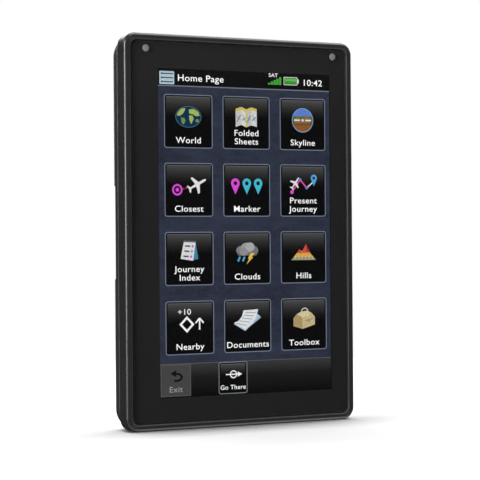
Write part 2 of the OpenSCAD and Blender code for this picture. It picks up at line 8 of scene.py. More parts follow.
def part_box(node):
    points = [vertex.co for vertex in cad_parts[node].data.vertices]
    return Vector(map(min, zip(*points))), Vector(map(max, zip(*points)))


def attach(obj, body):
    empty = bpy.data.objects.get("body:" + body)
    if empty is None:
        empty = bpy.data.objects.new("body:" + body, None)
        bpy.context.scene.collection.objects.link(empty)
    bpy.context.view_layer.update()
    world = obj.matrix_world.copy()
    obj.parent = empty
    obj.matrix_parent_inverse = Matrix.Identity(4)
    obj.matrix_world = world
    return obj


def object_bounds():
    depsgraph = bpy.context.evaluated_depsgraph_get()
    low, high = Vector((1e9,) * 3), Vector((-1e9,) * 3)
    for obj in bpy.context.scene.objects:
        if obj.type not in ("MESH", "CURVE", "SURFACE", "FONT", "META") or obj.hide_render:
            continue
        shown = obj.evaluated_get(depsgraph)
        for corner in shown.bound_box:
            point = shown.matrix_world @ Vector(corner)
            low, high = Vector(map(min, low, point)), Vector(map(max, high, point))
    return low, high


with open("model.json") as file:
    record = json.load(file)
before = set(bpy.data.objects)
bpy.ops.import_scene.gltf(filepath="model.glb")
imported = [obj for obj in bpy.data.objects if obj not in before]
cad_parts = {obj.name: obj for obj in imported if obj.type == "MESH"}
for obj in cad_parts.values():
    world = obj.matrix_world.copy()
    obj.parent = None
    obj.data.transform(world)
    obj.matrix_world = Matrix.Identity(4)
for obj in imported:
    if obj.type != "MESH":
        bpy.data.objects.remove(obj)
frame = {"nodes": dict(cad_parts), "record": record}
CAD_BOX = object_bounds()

MM = 0.001                               # the drawing is in mm, and Blender works in metres
FRONT = CAD_BOX[0].y                     # the front plane; depths are measured behind it
glass_lo, glass_hi = (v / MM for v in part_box("cover_glass"))
GLASS_HALF = ((glass_hi.x - glass_lo.x) / 2, (glass_hi.z - glass_lo.z) / 2)
MIDDLE = (glass_lo.z + glass_hi.z) / 2   # height of the middle of the glass

THIN = 0.004                             # thickness of a shape of the picture
LAYER = 0.006                            # distance from one layer of a picture to the next
CAPITAL = 0.69                           # height of a capital, as a part of the font's size


# ------------------------------------------------------------------ colours and outlines

def srgb(r, g, b):
    """A screen colour, 0 to 255, as the linear colour that Blender takes."""
    def linear(c):
        return c / 255 / 12.92 if c <= 10 else ((c / 255 + 0.055) / 1.055) ** 2.4
    return linear(r), linear(g), linear(b), 1.0


def grey(level):
    return srgb(level, level, level)


def scaled(colour, k):
    """A colour made brighter or darker."""
    return tuple(min(1.0, c * k) for c in colour[:3]) + (1.0,)


def ring(x, z, rx, rz=None, steps=32, start=0.0, end=360.0):
    """Points of an ellipse or an arc, in mm."""
    rz = rx if rz is None else rz
    closed = abs(end - start) >= 360
    angles = [math.radians(start + (end - start) * i / steps) for i in range(steps if closed else steps + 1)]
    return [(x + rx * math.cos(a), z + rz * math.sin(a)) for a in angles]


def rounded(x, z, w, h, r, steps=6):
    """Points of a rounded rectangle about a centre, in mm."""
    out = []
    for cx, cz, a in ((1, 1, 0), (-1, 1, 90), (-1, -1, 180), (1, -1, 270)):
        out += ring(x + cx * (w / 2 - r), z + cz * (h / 2 - r), r, steps=steps, start=a, end=a + 90)
    return out


def block(x0, x1, z0, z1):
    """Points of a rectangle, from its sides."""
    return [(x0, z0), (x1, z0), (x1, z1), (x0, z1)]


def turned(points, x, z, degrees, scale=1.0):
    """Points turned and scaled about the origin, then moved."""
    c = math.cos(math.radians(degrees)) * scale
    s = math.sin(math.radians(degrees)) * scale
    return [(x + px * c - pz * s, z + px * s + pz * c) for px, pz in points]


def bar(x0, z0, x1, z1, width):
    """Points of a straight stroke from one place to another."""
    dx, dz = x1 - x0, z1 - z0
    k = width / 2 / math.hypot(dx, dz)
    return [(x0 - dz * k, z0 + dx * k), (x0 + dz * k, z0 - dx * k),
            (x1 + dz * k, z1 - dx * k), (x1 - dz * k, z1 + dx * k)]


# ------------------------------------------------------------------ thin flat pieces of the picture

STAND = Matrix.Rotation(math.radians(90), 4, "X")


def flat_mesh(curve, depth, thick):
    """The mesh of a flat curve as a thin closed slab, standing with its front at that depth."""
    curve.extrude = thick * MM / 2
    obj = bpy.data.objects.new("flat", curve)
    bpy.context.scene.collection.objects.link(obj)
    bpy.context.view_layer.update()
    mesh = bpy.data.meshes.new_from_object(obj.evaluated_get(bpy.context.evaluated_depsgraph_get()))
    bpy.data.objects.remove(obj)
    mesh.transform(Matrix.Translation((0, FRONT + (depth + thick / 2) * MM, 0)) @ STAND)
    return mesh


def slab(loops, depth, thick=THIN):
    """A filled outline; further loops inside it are holes."""
    curve = bpy.data.curves.new("loops", "CURVE")
    curve.dimensions = "2D"
    curve.fill_mode = "BOTH"
    for loop in loops:
        spline = curve.splines.new("POLY")
        spline.points.add(len(loop) - 1)
        for point, (x, z) in zip(spline.points, loop):
            point.co = (x * MM, z * MM, 0, 1)
        spline.use_cyclic_u = True
    return flat_mesh(curve, depth, thick)


def lettering(words, x, z, height, depth, align="CENTER", wide=1.14):
    """Plain letters; height is that of a capital, z is the line they stand on."""
    curve = bpy.data.curves.new("words", "FONT")
    curve.body = words
    curve.size = height * MM / CAPITAL
    curve.align_x = align
    curve.offset = curve.size * 0.004    # a little bolder than the font
    curve.space_character = 1.06
    curve.resolution_u = 4
    curve.fill_mode = "BOTH"
    mesh = flat_mesh(curve, depth, THIN)
    mesh.transform(Matrix.Translation((x * MM, 0, z * MM)) @ Matrix.Diagonal((wide, 1, 1, 1)))
    return mesh


class Picture:
    """Thin shapes gathered into one piece, each with its own tint."""

    def __init__(self, name, depth):
        self.name, self.depth = name, depth
        self.origin = (0, 0)             # shapes and words are placed about this point, in mm
        self.verts, self.faces, self.tints = [], [], []

    def mesh(self, mesh, tint):
        """Takes a mesh in; tint is a colour, or a function of a point that gives one."""
        base = len(self.verts)
        self.verts += [tuple(v.co) for v in mesh.vertices]
        self.faces += [[base + i for i in p.vertices] for p in mesh.polygons]
        self.tints += [tint(v.co) if callable(tint) else tint for v in mesh.vertices]
        bpy.data.meshes.remove(mesh)

    def shape(self, loops, tint, lift=0):
        """One outline, or an outline with its holes, that many layers in front."""
        if isinstance(loops[0][0], (int, float)):
            loops = [loops]
        x, z = self.origin
        placed = [[(x + px, z + pz) for px, pz in loop] for loop in loops]
        self.mesh(slab(placed, self.depth - LAYER * lift), tint)

    def words(self, words, x, z, height, tint=(1, 1, 1, 1), **more):
        x, z = self.origin[0] + x, self.origin[1] + z
        self.mesh(lettering(words, x, z, height, self.depth, **more), tint)

    def build(self, material):
        """Makes the piece; its tints become the colour attribute that painted() reads."""
        mesh = bpy.data.meshes.new(self.name)
        mesh.from_pydata(self.verts, [], self.faces)
        layer = mesh.color_attributes.new("tint", "FLOAT_COLOR", "POINT")
        for item, tint in zip(layer.data, self.tints):
            item.color = tint
        mesh.materials.append(material)
        obj = bpy.data.objects.new(self.name, mesh)
        bpy.context.scene.collection.objects.link(obj)
        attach(obj, "case")
        return obj


# ------------------------------------------------------------------ materials

class Nodes:
    """A node tree, written briefly."""

    def __init__(self, tree):
        self.tree = tree
        tree.nodes.clear()

    def add(self, kind, **values):
        node = self.tree.nodes.new(kind)
        for key, value in values.items():
            setattr(node, key, value)
        return node

    def link(self, a, b):
        self.tree.links.new(a, b)

    def give(self, socket, value):
        """Sets a number or colour on a socket, or links another node's output to it."""
        if isinstance(value, (int, float, tuple)):
            socket.default_value = value
        else:
            self.link(value, socket)

    def split(self, vector):
        """The X, Y and Z of a vector."""
        node = self.add("ShaderNodeSeparateXYZ")
        self.link(vector, node.inputs[0])
        return node.outputs

    def ranged(self, value, a, b, c, d, smooth=False):
        """A value that runs from a to b, made to run from c to d."""
        node = self.add("ShaderNodeMapRange", interpolation_type="SMOOTHSTEP" if smooth else "LINEAR")
        for socket, number in zip(("From Min", "From Max", "To Min", "To Max"), (a, b, c, d)):
            node.inputs[socket].default_value = number
        self.link(value, node.inputs["Value"])
        return node.outputs["Result"]

    def spread(self, noise, low, high):
        """The middle stretch of a noise, spread from low to high."""
        return self.ranged(noise, 0.3, 0.7, low, high)

    def math(self, kind, a, b=0.0):
        node = self.add("ShaderNodeMath", operation=kind)
        for socket, value in zip(node.inputs, (a, b)):
            self.give(socket, value)
        return node.outputs[0]


class Finish(Nodes):
    """A material round one Principled shader, with its textures in the object's own space."""

    def __init__(self, name):
        self.material = bpy.data.materials.new(name)
        self.material.use_nodes = True
        super().__init__(self.material.node_tree)
        out = self.add("ShaderNodeOutputMaterial")
        self.shader = self.add("ShaderNodeBsdfPrincipled")
        self.link(self.shader.outputs[0], out.inputs["Surface"])
        self.place = self.add("ShaderNodeTexCoord").outputs["Object"]

    def set(self, **values):
        """Gives the shader's sockets their values, and returns the material."""
        for key, value in values.items():
            self.give(self.shader.inputs[key.replace("_", " ")], value)
        return self.material

    def stretched(self, sx, sy, sz, turn=(0, 0, 0)):
        node = self.add("ShaderNodeMapping")
        node.inputs["Scale"].default_value = (sx, sy, sz)
        node.inputs["Rotation"].default_value = turn
        self.link(self.place, node.inputs["Vector"])
        return node.outputs[0]

    def noise(self, size, detail=2.0, where=None, roughness=0.55):
        """Smooth noise whose features are about that many mm across."""
        node = self.add("ShaderNodeTexNoise")
        node.inputs["Scale"].default_value = 1 / (size * MM)
        node.inputs["Detail"].default_value = detail
        node.inputs["Roughness"].default_value = roughness
        self.link(where or self.place, node.inputs["Vector"])
        return node.outputs["Fac"]

    def cells(self, size, kind="F1"):
        """A pattern of cells about that many mm across."""
        node = self.add("ShaderNodeTexVoronoi", feature=kind)
        node.inputs["Scale"].default_value = 1 / (size * MM)
        self.link(self.place, node.inputs["Vector"])
        return node.outputs["Distance"]

    def mix(self, factor, a, b):
        node = self.add("ShaderNodeMix", data_type="RGBA")
        for socket, value in ((node.inputs["Factor"], factor), (node.inputs[6], a), (node.inputs[7], b)):
            self.give(socket, value)
        return node.outputs[2]

    def beyond(self, half, width, value):
        """Zero on the face of an upright rectangle about the glass's middle, and the value round it.

        half holds its half sizes, and the value begins the width inside them.
        """
        place = self.split(self.place)
        sides = []
        for axis, middle, size in (("X", 0, half[0]), ("Z", MIDDLE, half[1])):
            away = self.math("ABSOLUTE", self.math("SUBTRACT", place[axis], middle * MM))
            sides.append(self.ranged(away, (size - width) * MM, (size - width * 0.9) * MM, 0, value))
        return self.math("MAXIMUM", *sides)

    def bump(self, height, depth, before=None):
        """Bump of that many mm."""
        node = self.add("ShaderNodeBump")
        node.inputs["Strength"].default_value = 1.0
        node.inputs["Distance"].default_value = depth * MM
        self.link(height, node.inputs["Height"])
        if before is not None:
            self.link(before, node.inputs["Normal"])
        return node.outputs[0]


MATT = 0.32                              # added roughness of the bezel's inner edge, next to the glass


def surface(name, colour, vary=0.12, cloud=18, grain=0.3, depth=0.006, rough=(0.4, 0.5), rub=None,
            brushed=None, matt_inside=None, **sockets):
    """A finish with broad colour variation, a fine grain and uneven gloss.

    rub gives the two distances from the middle, in mm, between which polish from hands fades in, brushed
    stretches fine lines along one direction, and matt_inside holds the half sizes of a duller rectangle.
    """
    m = Finish(name)
    blotch = m.noise(cloud, 3)
    fine = m.noise(grain, 3)
    clouded = m.ranged(blotch, 0.35, 0.65, 0, 1, True)
    colours = m.mix(clouded, scaled(colour, 1 - vary), scaled(colour, 1 + vary))
    colours = m.mix(m.spread(fine, 0, 0.35), colours, scaled(colour, 1 + 2.5 * vary))
    gloss = m.spread(m.noise(cloud / 5, 4), rough[0], rough[1])
    if rub is not None:
        across = m.math("ABSOLUTE", m.split(m.place)["X"])
        edge = m.ranged(across, rub[0] * MM, rub[1] * MM, 0, 1, True)
        worn = m.math("MULTIPLY", edge, m.ranged(m.noise(7, 4), 0.42, 0.62, 0, 1, True))
        gloss = m.math("SUBTRACT", gloss, m.math("MULTIPLY", worn, 0.03))
        colours = m.mix(m.math("MULTIPLY", worn, 0.12), colours, scaled(colour, 1.5))
    if matt_inside is not None:
        gloss = m.math("ADD", gloss, m.math("SUBTRACT", MATT, m.beyond(matt_inside, 0.4, MATT)))
    normal = m.bump(m.math("ADD", fine, m.math("MULTIPLY", m.cells(grain * 1.4), 0.6)), depth)
    if brushed is not None:
        lines = m.noise(1.0, 4, m.stretched(*brushed))
        gloss = m.math("ADD", gloss, m.ranged(lines, 0.35, 0.65, -0.06, 0.08))
        normal = m.bump(lines, 0.002, normal)
    return m.set(Base_Color=colours, Roughness=gloss, Normal=normal, **sockets)


def metal(name, colour, rough=(0.25, 0.4), **more):
    return surface(name, colour, vary=0.06, cloud=4, grain=0.12, depth=0.0015, rough=rough, Metallic=1.0,
                   **more)


def cover_glass():
    """Clear glass with faint smears and a ground edge."""
    m = Finish("cover_glass_finish")
    smear = m.noise(1.0, 4, m.stretched(0.09, 0.09, 0.035, (0, 0.5, 0)))
    polish = m.ranged(smear, 0.4, 0.75, 0.008, 0.03, True)
    gloss = m.math("MAXIMUM", polish, m.beyond(GLASS_HALF, 0.26, 0.5))
    tint = m.mix(m.noise(30, 2), (0.95, 0.955, 0.95, 1), (0.975, 0.98, 0.975, 1))
    return m.set(Base_Color=tint, Roughness=gloss, Normal=m.bump(m.noise(12, 1), 0.0006),
                 Transmission_Weight=1.0, IOR=1.5)


def film():
    """The touch sensor: nearly clear."""
    m = Finish("sensor_film_finish")
    tint = m.mix(m.noise(9, 3), srgb(30, 34, 42), srgb(44, 48, 58))
    return m.set(Base_Color=tint, Roughness=m.spread(m.noise(3, 3), 0.15, 0.3), Alpha=0.04,
                 Normal=m.bump(m.noise(2.5), 0.0005), Specular_IOR_Level=0.1)


def black_print():
    m = Finish("glass_print_finish")
    tint = m.mix(m.noise(20, 3), grey(42), srgb(47, 47, 48))
    return m.set(Base_Color=tint, Roughness=m.spread(m.noise(1.5, 3), 0.42, 0.6),
                 Normal=m.bump(m.noise(0.4, 2), 0.001), Specular_IOR_Level=0.2)


def board():
    """A green circuit board with lighter tracks."""
    m = Finish("circuit_board_finish")
    tracks = m.math("LESS_THAN", m.cells(1.4, "DISTANCE_TO_EDGE"), 0.09)
    base = m.mix(m.noise(6, 3), srgb(10, 62, 38), srgb(16, 84, 52))
    return m.set(Base_Color=m.mix(tracks, base, srgb(30, 108, 66)), Normal=m.bump(tracks, 0.03),
                 Roughness=m.spread(m.noise(2, 3), 0.28, 0.45))


def lit(name, tint_from, strength=1.05):
    """A part of the lit picture. tint_from(m) gives its colour."""
    m = Finish(name)
    return m.set(Emission_Color=tint_from(m), Emission_Strength=strength, Base_Color=(0.001, 0.001, 0.001, 1),
                 Roughness=m.spread(m.noise(4, 3), 0.35, 0.5), Normal=m.bump(m.noise(0.5, 2), 0.0008),
                 Specular_IOR_Level=0.0)


def dark(m):
    return m.mix(m.noise(3, 2), srgb(3, 3, 4), srgb(7, 7, 9))


def painted(m):
    """The tints of a Picture, with a faint unevenness."""
    tint = m.add("ShaderNodeAttribute", attribute_name="tint").outputs["Color"]
    return m.mix(m.spread(m.noise(0.9, 3), 0, 0.16), tint, (0.002, 0.002, 0.002, 1))


def navy(m):
    """The cloudy blue behind the menu."""
    wide = m.noise(1.0, 5, m.stretched(0.05, 0.05, 0.16), 0.7)
    near = m.noise(1.6, 4, roughness=0.7)
    base = m.mix(m.ranged(wide, 0.35, 0.65, 0, 1), srgb(30, 34, 49), srgb(48, 54, 73))
    return m.mix(m.ranged(near, 0.35, 0.65, 0, 0.5), base, srgb(56, 60, 74))


def letter_white(m):
    return m.mix(m.noise(0.6, 2), (0.9, 0.9, 0.9, 1), (1, 1, 1, 1))


FINISHES = {
    "bezel_plastic": surface("bezel_plastic_finish", srgb(30, 30, 31), vary=0.1, cloud=24, grain=0.22,
                             depth=0.0015, rough=(0.3, 0.35), rub=(59.2, 60.8), matt_inside=(58.3, 90.0),
                             Specular_IOR_Level=1.0),
    "cover_glass": cover_glass(),
    "black_foam": surface("black_foam_finish", grey(18), grain=0.15, depth=0.03, rough=(0.85, 0.95)),
    "sensor_film": film(),
    "display": lit("display_finish", dark),
    "clear_acrylic": surface("clear_acrylic_finish", srgb(225, 232, 238), vary=0.03, rough=(0.1, 0.2)),
    "pressed_steel": metal("pressed_steel_finish", srgb(190, 191, 194), brushed=(0.1, 1, 8)),
    "grey_lens": surface("grey_lens_finish", srgb(128, 126, 124), vary=0.06, cloud=1.2, grain=0.1,
                         depth=0.002, rough=(0.22, 0.34), Subsurface_Weight=0.15),
    "chip_package": surface("chip_package_finish", srgb(34, 34, 35), grain=0.08, depth=0.004,
                            rough=(0.5, 0.65)),
    "magnesium": surface("magnesium_finish", srgb(158, 160, 163), grain=0.3, depth=0.01, rough=(0.4, 0.55),
                         Metallic=1.0),
    "screw_steel": metal("screw_steel_finish", srgb(176, 177, 180), brushed=(6, 1, 6)),
    "flex_circuit": surface("flex_circuit_finish", srgb(188, 120, 44), vary=0.1, grain=0.2, depth=0.004,
                            rough=(0.3, 0.42), brushed=(7, 1, 0.05)),
    "ivory_plastic": surface("ivory_plastic_finish", srgb(226, 219, 198), vary=0.05, rough=(0.4, 0.5)),
    "circuit_board": board(),
    "antenna_ceramic": surface("antenna_ceramic_finish", srgb(214, 202, 176), vary=0.06, cloud=5, grain=0.12,
                               depth=0.004, rough=(0.55, 0.7)),
    "silver": metal("silver_finish", srgb(222, 222, 224)),
    "nickel": metal("nickel_finish", srgb(198, 194, 184), rough=(0.2, 0.32)),
    "gold_plate": metal("gold_plate_finish", srgb(226, 182, 96), rough=(0.16, 0.3), brushed=(9, 1, 0.6)),
    "rubber": surface("rubber_finish", srgb(26, 26, 27), grain=0.16, depth=0.012, rough=(0.62, 0.78)),
    "button_rubber": surface("button_rubber_finish", srgb(30, 30, 31), grain=0.14, depth=0.01,
                             rough=(0.5, 0.62)),
    "black_plastic": surface("black_plastic_finish", srgb(24, 24, 25), grain=0.2, rough=(0.42, 0.52)),
    "card_plastic": surface("card_plastic_finish", srgb(28, 28, 31), vary=0.08, grain=0.1, depth=0.003,
                            rough=(0.34, 0.44)),
    "cover_plastic": surface("cover_plastic_finish", srgb(34, 34, 35), cloud=22, grain=0.38, depth=0.016,
                             rough=(0.46, 0.58), rub=(58.6, 60.5)),
    "battery_wrap": surface("battery_wrap_finish", srgb(40, 43, 52), vary=0.08, grain=0.5,
                            rough=(0.34, 0.46)),
    "grey_silicone": surface("grey_silicone_finish", srgb(64, 64, 66), grain=0.12, rough=(0.6, 0.72)),
    "black_screw": surface("black_screw_finish", srgb(38, 38, 40), vary=0.1, cloud=1.5, grain=0.1,
                           depth=0.003, rough=(0.3, 0.44), Metallic=0.8, brushed=(5, 1, 5)),
}
SLOT_OF = {n: m["slot"] for m in frame["record"]["materials"] for n in m.get("nodes", [])}
for node, obj in frame["nodes"].items():
    slot = SLOT_OF.get(node) or obj.material_slots[0].material.name
    obj.data.materials.clear()
    obj.data.materials.append(FINISHES[slot])
for node in ("cover_glass", "touch_sensor"):     # light reaches what lies behind them
    frame["nodes"][node].visible_shadow = False

# ------------------------------------------------------------------ the printed border of the glass

lcd_lo, lcd_hi = (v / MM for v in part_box("lcd_panel"))
LCD_DEPTH = lcd_lo.y - FRONT / MM        # depth of the display's front
GLASS_BACK = glass_hi.y - FRONT / MM
PIC_X = (lcd_lo.x + lcd_hi.x) / 2        # centre of the picture
PIC_Z = (lcd_lo.z + lcd_hi.z) / 2
PIC_W, PIC_H = 91.6, 152.8               # size of the lit picture
window_lo, window_hi = (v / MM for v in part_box("right_light_window"))
WINDOW_X = (window_lo.x + window_hi.x) / 2
WINDOW_Z = (window_lo.z + window_hi.z) / 2
WINDOW_R = (window_hi.x - window_lo.x) / 2
GAP = 0.2                                # from the print to the picture and to the light windows
INSET = 0.1                              # from the edge of the glass to the print
PRINT_CORNER = 2.9
PRINT_THICK = 0.03

border = Picture("glass_border_print", GLASS_BACK - 0.05)
outline = rounded(0, MIDDLE, 2 * GLASS_HALF[0] - 2 * INSET, 2 * GLASS_HALF[1] - 2 * INSET, PRINT_CORNER)
view = rounded(PIC_X, PIC_Z, PIC_W + 2 * GAP, PIC_H + 2 * GAP, 0.3)
windows = [ring(s * WINDOW_X, WINDOW_Z, WINDOW_R + GAP) for s in (-1, 1)]
border.mesh(slab([outline, view] + windows, border.depth, PRINT_THICK), (0, 0, 0, 1))
border.build(black_print())

# ------------------------------------------------------------------ the picture on the screen

LEFT, RIGHT = PIC_X - PIC_W / 2, PIC_X + PIC_W / 2
BOTTOM, TOP = PIC_Z - PIC_H / 2, PIC_Z + PIC_H / 2
HEAD_Z = TOP - 7.7                       # lower edge of the header
FOOT_Z = BOTTOM + 15.6                   # upper edge of the footer
FOOT_MID = FOOT_Z - 6.5                  # where the footer turns from a quick fade to a slow one
COLUMNS = [PIC_X + x for x in (-30.3, 0.2, 30.9)]        # middles of the tiles
ROWS = [PIC_Z + z for z in (52.2, 20.2, -12.0, -44.3)]
TILE = 25.1                              # side of a tile
TILE_CORNER = 1.3
OUTLINE = 0.4                            # width of the line round a tile
FACE_SIDE, FACE_TOP = 1.1, 1.0           # from a tile's edge to the face inside its line
GO_X = PIC_X - 7.9                       # middle of the tile in the footer
SHINE = 0.3                              # height of the bright line at the top of a tile's face
BANDS = 5                                # bands below it that grow darker
BAND = 0.075                             # height of one, as a part of the tile's
BAND_STEP = 15                           # screen levels that one spans


def fade(z0, z1, low, high):
    """A tint that runs from one to the other between two heights, in mm."""
    def tint(co):
        t = min(1, max(0, (co.z / MM - z0) / (z1 - z0)))
        return tuple(a + (b - a) * t for a, b in zip(low, high))
    return tint


backdrop = Picture("screen_backdrop", LCD_DEPTH - 0.01)
backdrop.shape(block(LEFT, RIGHT, FOOT_Z, HEAD_Z), (0, 0, 0, 1))
backdrop.build(lit("screen_backdrop_finish", navy))

bars = Picture("screen_header_and_footer", LCD_DEPTH - 0.01)
bars.shape(block(LEFT, RIGHT, HEAD_Z, TOP), grey(2))
bars.shape(block(LEFT, RIGHT, HEAD_Z - 0.35, HEAD_Z + 0.15), srgb(120, 126, 140), 1)
bars.shape(block(LEFT, RIGHT, FOOT_Z - 0.3, FOOT_Z), srgb(92, 94, 98), 1)
bars.shape(block(LEFT, RIGHT, FOOT_MID, FOOT_Z - 0.3), fade(FOOT_MID, FOOT_Z - 0.3, grey(26), grey(58)))
bars.shape(block(LEFT, RIGHT, BOTTOM, FOOT_MID), fade(BOTTOM, FOOT_MID, grey(3), grey(26)))
bars.build(lit("screen_bars_finish", painted))

tiles = Picture("menu_tiles", LCD_DEPTH - 0.025)


def tile(x, z, w, h, edge):
    """A black key with a line round it and a sheen at its top."""
    tiles.shape(rounded(x, z, w, h, TILE_CORNER), srgb(2, 2, 3))
    inner = rounded(x, z, w - 2 * OUTLINE, h - 2 * OUTLINE, TILE_CORNER - 0.35)
    tiles.shape([rounded(x, z, w, h, TILE_CORNER), inner], edge, 1)
    top = z + h / 2 - FACE_TOP
    left, right = x - w / 2 + FACE_SIDE, x + w / 2 - FACE_SIDE
    tiles.shape(block(left, right, top - SHINE, top), srgb(98, 99, 100), 1)
    for i in range(BANDS):
        level = BAND_STEP * (BANDS - i)
        z1 = top - SHINE - i * h * BAND
        z0 = z1 - h * BAND
        tiles.shape(block(left, right, z0, z1), fade(z0, z1, grey(level - BAND_STEP), grey(level)), 1)


for row in ROWS:
    for column in COLUMNS:
        tile(column, row, TILE, TILE, srgb(122, 132, 152))
tile(GO_X, (BOTTOM + FOOT_Z) / 2, 15.3, 15.2, srgb(120, 128, 136))
tiles.shape(block(LEFT + 0.2, LEFT + 15.8, BOTTOM + 0.3, FOOT_Z - 0.4), grey(88))
tiles.shape(block(LEFT + 0.6, LEFT + 15.4, BOTTOM + 0.7, FOOT_Z - 0.8), srgb(70, 71, 70), 1)
tiles.build(lit("menu_tiles_finish", painted))

# Lettering: plain words and numbers
WORDS_DEPTH = LCD_DEPTH - 0.06
HEAD_LINE = HEAD_Z + 2.3                 # the line that the header's words stand on
FOOT_LINE = BOTTOM + 2.3
LABEL_DROP = 10.2                        # from a tile's middle down to its lowest line of words
LABEL_PITCH = 4.0                        # from one line of words to the next
LABELS = ((("World",), ("Folded", "Sheets"), ("Skyline",)),
          (("Closest",), ("Marker",), ("Present", "Journey")),
          (("Journey", "Index"), ("Clouds",), ("Hills",)),
          (("Nearby",), ("Documents",), ("Toolbox",)))

menu_words = Picture("menu_words", WORDS_DEPTH)
menu_words.words("Home Page", LEFT + 9.9, HEAD_LINE, 3.0, align="LEFT")
menu_words.words("SAT", RIGHT - 30.9, HEAD_LINE + 3.6, 1.7)
menu_words.words("10:42", RIGHT - 15.0, HEAD_LINE, 2.9, align="LEFT")
for z, row in zip(ROWS, LABELS):
    for x, label in zip(COLUMNS, row):
        for i, line in enumerate(reversed(label)):
            menu_words.words(line, x, z - LABEL_DROP + LABEL_PITCH * i, 2.8)
menu_words.words("Go There", GO_X, FOOT_LINE, 2.1, wide=1.05)
menu_words.build(lit("menu_words_finish", letter_white, 1.25))

exit_key = Picture("back_button_words", WORDS_DEPTH)
exit_key.words("Exit", LEFT + 8, FOOT_LINE, 2.6, grey(160))

# Icons: simple symbols, each drawn about its own middle
icons = Picture("menu_icons", LCD_DEPTH - 0.045)
tile_number = Picture("tile_number", WORDS_DEPTH)
WHITE = (1, 1, 1, 1)
PALE = grey(236)
MAGENTA, CYAN, SKY = srgb(226, 80, 222), srgb(70, 190, 214), srgb(84, 140, 214)
PLANE_SIDE = [(6, 0), (5.2, 0.6), (1.4, 0.75), (-0.6, 4.6), (-1.7, 4.6), (-0.9, 0.7), (-3.9, 0.45), (-5, 2),
              (-5.7, 2), (-5.2, 0)]
PLANE = PLANE_SIDE + [(x, -z) for x, z in reversed(PLANE_SIDE[1:-1])]


def globe():
    land, shade = srgb(164, 190, 96), srgb(116, 150, 70)
    icons.shape(ring(0, 0, 6.7, 5.0, 48), srgb(70, 120, 150))
    icons.shape(ring(0, 0, 6.4, 4.75, 48), srgb(14, 48, 82), 1)
    icons.shape([(-5.6, 1.9), (-3.7, 3.8), (-1.5, 4.0), (-2.2, 2.4), (-3.1, 1.2), (-4.5, 0.4), (-5.9, 0.5)],
                land, 2)
    icons.shape([(-3.9, -0.3), (-2.1, -0.6), (-1.5, -1.9), (-2.6, -3.7), (-3.6, -2.6)], shade, 2)
    icons.shape([(0.2, 3.4), (2.6, 3.9), (5.0, 2.6), (5.9, 0.7), (3.9, 0.4), (2.2, 1.3), (0.4, 1.6)], land, 2)
    icons.shape([(0.3, 0.8), (2.2, 0.6), (2.7, -0.9), (1.4, -3.4), (0.5, -1.4)], land, 2)
    icons.shape(ring(4.6, -1.7, 0.95, 0.8, 14), shade, 2)


def chart():
    """A folded map with a coloured band along its top."""
    folds = (-5.7, -2.6, 0.0, 2.7, 5.6)
    lows = (-4.6, -3.6, -4.7, -3.7, -4.4)
    papers = (srgb(206, 206, 198), srgb(226, 226, 222), srgb(196, 198, 196), srgb(222, 222, 216))
    height, band = 8.6, 7.2
    for i, paper in enumerate(papers):
        (a, b), (low_a, low_b) = folds[i:i + 2], lows[i:i + 2]
        icons.shape([(a, low_a), (b, low_b), (b, low_b + height), (a, low_a + height)], paper)
        icons.shape(bar(a + 0.5, low_a + 2.2, b - 0.5, low_b + 4.6, 0.5), srgb(96, 134, 170), 1)
        icons.shape(bar(a + 0.5, low_a + 5.0, b - 0.5, low_b + 2.6, 0.35), srgb(120, 150, 178), 1)
        icons.shape([(a, low_a + band), (b, low_b + band), (b, low_b + height), (a, low_a + height)],
                    srgb(214, 196, 96), 1)
    icons.shape(bar(0, -4.6, 0, 3.7, 0.9), srgb(218, 200, 92), 2)


def scenery():
    """A horizon with its reference bars and dot."""
    r = 5.5
    icons.shape(ring(0, 0, r + 0.4, steps=40), srgb(120, 170, 210))
    icons.shape(ring(0, 0, r, steps=40), srgb(96, 132, 214), 1)
    icons.shape(ring(0, 0, r, steps=30, start=160, end=380), srgb(92, 106, 52), 2)
    icons.shape(ring(0, 0, r, steps=28, start=175, end=365), srgb(104, 82, 44), 3)
    icons.shape([(-5.2, -0.2), (-2.6, 1.8), (-0.6, 0.6), (1.9, 2.4), (5.2, 0.2), (4.0, -1.4), (-4.2, -1.6)],
                srgb(140, 112, 66), 4)
    icons.shape(ring(0, 0, r, steps=20, start=205, end=335), srgb(150, 88, 44), 5)
    for s in (-1, 1):
        icons.shape(bar(s * 1.5, 0, s * 4.6, 0, 0.7), grey(238), 6)
    icons.shape(ring(0, 0, 0.6, steps=14), grey(238), 6)


def closest():
    """A ring target, and a plane that heads away from it."""
    icons.shape(turned(PLANE, 4.2, 0.9, 28, 0.9), PALE, 2)
    icons.shape([ring(-6.0, -1.6, 2.7), ring(-6.0, -1.6, 1.8)], MAGENTA)
    icons.shape(ring(-6.0, -1.6, 0.9, steps=14), MAGENTA)
    for i in range(3):
        icons.shape(ring(-2.7 + 1.2 * i, -1.1 + 0.35 * i, 0.34, steps=10), srgb(226, 60, 96), 1)


def pin(x, z, r, tint, lift=0):
    """A map pin whose round head is at that place."""
    drop = ring(x, z, r, steps=24, start=-25, end=205) + [(x, z - 2.3 * r)]
    icons.shape([drop, ring(x, z, 0.42 * r, steps=14)], tint, lift)


def markers():
    for x, tint in ((-6.1, MAGENTA), (0, CYAN), (6.1, CYAN)):
        pin(x, 0, 2.3, tint)


